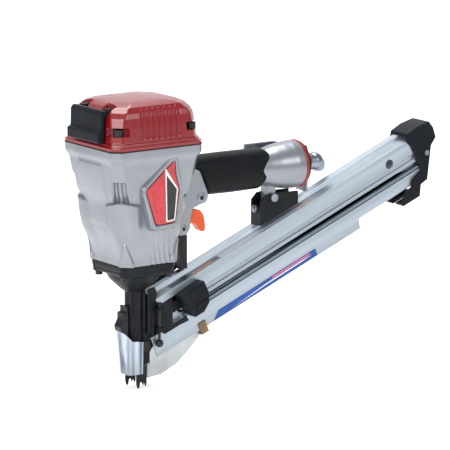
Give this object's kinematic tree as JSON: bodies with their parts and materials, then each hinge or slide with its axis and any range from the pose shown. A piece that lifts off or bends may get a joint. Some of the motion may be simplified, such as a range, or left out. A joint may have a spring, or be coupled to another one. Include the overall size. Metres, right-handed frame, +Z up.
{
  "type": "pneumatic nail gun",
  "caption": "Handheld pneumatic framing nailer with a red cap, silver body, rubber grip, slanted aluminium strip magazine, trigger and spring-loaded contact foot.",
  "frame": {"origin": "centre of the muzzle's exit face on the drive axis, where the nails leave", "axes": "+Z up along the drive axis from muzzle to cap, +X to the rear along the handle, -Y the side with the pusher knob"},
  "size_m": [0.5055, 0.1194, 0.3494],
  "materials": {
    "silver_paint": "satin silver paint on a magnesium casting",
    "red_paint": "glossy red paint on an aluminium casting",
    "seal_rubber": "black rubber",
    "black_oxide_steel": "black oxide",
    "black_plastic": "moulded, fine grain",
    "filter_mesh": "woven mesh",
    "badge_label": "printed gloss label",
    "valve_plastic": "moulded",
    "spring_steel": "bright spring wire and hardened steel",
    "bare_aluminium": "machined",
    "black_casting": "black phosphate on a casting",
    "grip_rubber": "matte moulded rubber",
    "red_plastic": "moulded",
    "zinc_steel": "zinc plate",
    "orange_plastic": "moulded",
    "brass_valve": "machined",
    "black_phosphate_steel": "black phosphate",
    "chrome_steel": "polished chrome plate",
    "anodised_aluminium": "brushed and clear anodised extrusion",
    "rail_steel": "ground steel",
    "satin_steel": "bead-blasted stainless",
    "clip_brass": "tarnished brass"
  },
  "bodies": {
    "root": {"main_housing": "silver_paint", "cap_gasket": "seal_rubber", "cylinder_cap": "red_paint", "cap_bolts": "black_oxide_steel", "exhaust_cover": "black_plastic", "exhaust_filter": "filter_mesh", "cover_bolts": "black_oxide_steel", "side_badge_left": "badge_label", "side_badge_right": "badge_label", "head_valve_spring": "spring_steel", "cylinder_sleeve": "bare_aluminium", "sleeve_seal": "seal_rubber", "bumper": "seal_rubber", "nose": "black_casting", "nose_bolts": "black_oxide_steel", "grip_sleeve": "grip_rubber", "end_cap_gasket": "red_plastic", "handle_end_cap": "black_casting", "end_cap_bolts": "zinc_steel", "fitting_nut": "black_oxide_steel", "trigger_pin": "black_oxide_steel", "valve_body": "brass_valve", "valve_spring": "spring_steel", "contact_spring": "spring_steel", "spring_guide_pin": "zinc_steel", "magazine_body": "anodised_aluminium", "pusher_rail": "rail_steel", "magazine_end_cap": "black_plastic", "end_cap_screws": "zinc_steel", "guard_plates": "satin_steel", "guard_clip": "clip_brass", "magazine_bracket": "black_casting", "bracket_screw": "zinc_steel", "bracket_bolt": "zinc_steel", "bracket_nut": "zinc_steel"},
    "piston": {"piston": "bare_aluminium", "piston_ring": "seal_rubber", "driver_blade": "spring_steel"},
    "head_valve": {"head_valve": "valve_plastic"},
    "trigger": {"trigger": "orange_plastic"},
    "valve_stem": {"valve_stem": "zinc_steel"},
    "contact_arm": {"contact_link": "black_phosphate_steel", "contact_foot": "chrome_steel", "contact_tip": "black_phosphate_steel", "contact_front_guide": "black_phosphate_steel", "dial_pin": "zinc_steel"},
    "depth_dial": {"depth_dial": "black_plastic"},
    "pusher": {"pusher_carriage": "black_plastic", "pusher_knob": "black_plastic", "pusher_spring": "spring_steel"},
    "swivel": {"swivel_elbow": "zinc_steel", "air_plug": "zinc_steel"},
    "hook": {"rafter_hook": "zinc_steel"},
    "latch_pin": {"latch_pin": "black_oxide_steel"}
  },
  "joints": [
    {"name": "piston_slide", "type": "slide", "parent": "root", "child": "piston", "axis": [0, 0, -1], "range_m": [0, 0.094]},
    {"name": "head_valve_slide", "type": "slide", "parent": "root", "child": "head_valve", "axis": [0, 0, 1], "range_m": [0, 0.006], "stiffness_N_per_m": 800, "springref_m": -0.01, "deforming": ["head_valve_spring"]},
    {"name": "trigger_hinge", "type": "hinge", "parent": "root", "child": "trigger", "pos_m": [0.061, 0, 0.17], "axis": [0, -1, 0], "range_deg": [0, 10], "stiffness_Nm_per_rad": 0.05, "springref_deg": -11.46},
    {"name": "valve_slide", "type": "slide", "parent": "root", "child": "valve_stem", "axis": [0, 0, 1], "range_m": [0, 0.00314], "deforming": ["valve_spring"]},
    {"name": "contact_arm_slide", "type": "slide", "parent": "root", "child": "contact_arm", "axis": [0, 0, 1], "range_m": [0, 0.016], "stiffness_N_per_m": 500, "springref_m": -0.02, "deforming": ["contact_spring"]},
    {"name": "depth_dial_turn", "type": "hinge", "parent": "contact_arm", "child": "depth_dial", "pos_m": [0.024, 0.0253, 0.064], "axis": [0, 0, 1], "continuous": true},
    {"name": "pusher_slide", "type": "slide", "parent": "root", "child": "pusher", "axis": [0.9239, 0, 0.3827], "range_m": [0, 0.3], "stiffness_N_per_m": 12, "springref_m": -0.8},
    {"name": "air_swivel", "type": "hinge", "parent": "root", "child": "swivel", "pos_m": [0.262, 0, 0.2295], "axis": [1, 0, 0], "range_deg": [0, 240]},
    {"name": "hook_swing", "type": "hinge", "parent": "root", "child": "hook", "pos_m": [0.2435, 0, 0.2295], "axis": [1, 0, 0], "range_deg": [0, 180]},
    {"name": "latch_slide", "type": "slide", "parent": "root", "child": "latch_pin", "axis": [0, 0, -1], "range_m": [0, 0.004], "stiffness_N_per_m": 200, "springref_m": -0.01}
  ],
  "couplings": [
    {"joint": "trigger_hinge", "follows": "valve_slide", "rad_per_m": 55.556}
  ]
}
